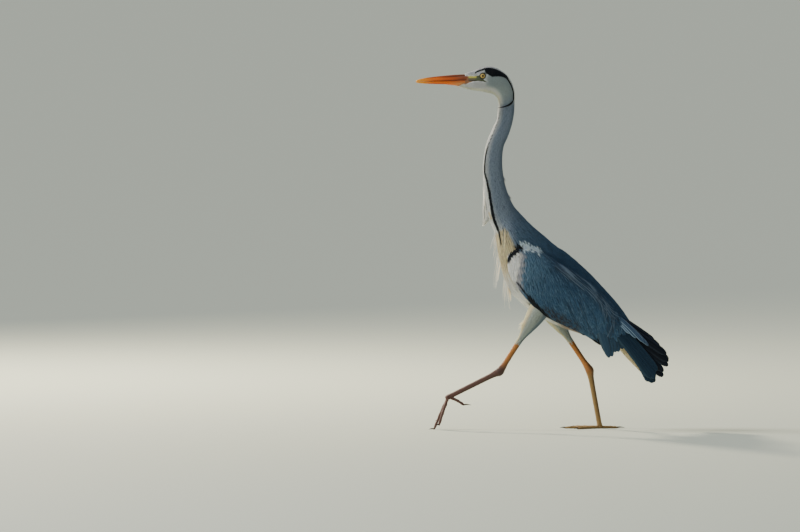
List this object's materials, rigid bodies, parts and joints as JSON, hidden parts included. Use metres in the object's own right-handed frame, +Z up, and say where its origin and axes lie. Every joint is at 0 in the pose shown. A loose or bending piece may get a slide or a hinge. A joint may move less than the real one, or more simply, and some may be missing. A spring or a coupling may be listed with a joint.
{
  "type": "grey heron model",
  "caption": "Life-size still model of an adult grey heron in mid stride, neck raised, standing on its right foot as the middle toe of its left touches down.",
  "frame": {"origin": "on the floor, under the middle of the bounding box", "axes": "+X is the way the bird faces, +Y is its left side, +Z is up"},
  "size_m": [0.6094, 0.1356, 0.8748],
  "materials": {
    "grey_plumage": "matte slate-grey feathers, paler on their edges",
    "pale_plumage": "matte white to cream feathers",
    "black_plumage": "near-black feathers with a faint sheen",
    "bill_horn": "satin orange horn, yellower at the tip, darker along the culmen",
    "leg_skin": "scaled skin, orange-ochre to brown",
    "claw_horn": "dark brown horn, satin",
    "eye": "wet, glossy, pale yellow iris round a black pupil"
  },
  "bodies": {
    "root": {"head": "pale_plumage", "neck_upper": "grey_plumage", "neck_middle": "grey_plumage", "neck_lower": "grey_plumage", "trunk": "grey_plumage", "bill_upper": "bill_horn", "bill_lower": "bill_horn", "foreneck_plume": "pale_plumage", "breast_plumes": "pale_plumage", "tail": "grey_plumage", "eye_left": "eye", "crest_plume_left": "black_plumage", "wing_left": "grey_plumage", "primaries_left": "black_plumage", "thigh_left": "pale_plumage", "shank_left": "leg_skin", "tarsus_left": "leg_skin", "toe_middle_left": "leg_skin", "claw_middle_left": "claw_horn", "toe_outer_left": "leg_skin", "claw_outer_left": "claw_horn", "toe_inner_left": "leg_skin", "claw_inner_left": "claw_horn", "toe_hind_left": "leg_skin", "claw_hind_left": "claw_horn", "eye_right": "eye", "crest_plume_right": "black_plumage", "wing_right": "grey_plumage", "primaries_right": "black_plumage", "thigh_right": "pale_plumage", "shank_right": "leg_skin", "tarsus_right": "leg_skin", "toe_middle_right": "leg_skin", "claw_middle_right": "claw_horn", "toe_outer_right": "leg_skin", "claw_outer_right": "claw_horn", "toe_inner_right": "leg_skin", "claw_inner_right": "claw_horn", "toe_hind_right": "leg_skin", "claw_hind_right": "claw_horn"}
  },
  "joints": []
}
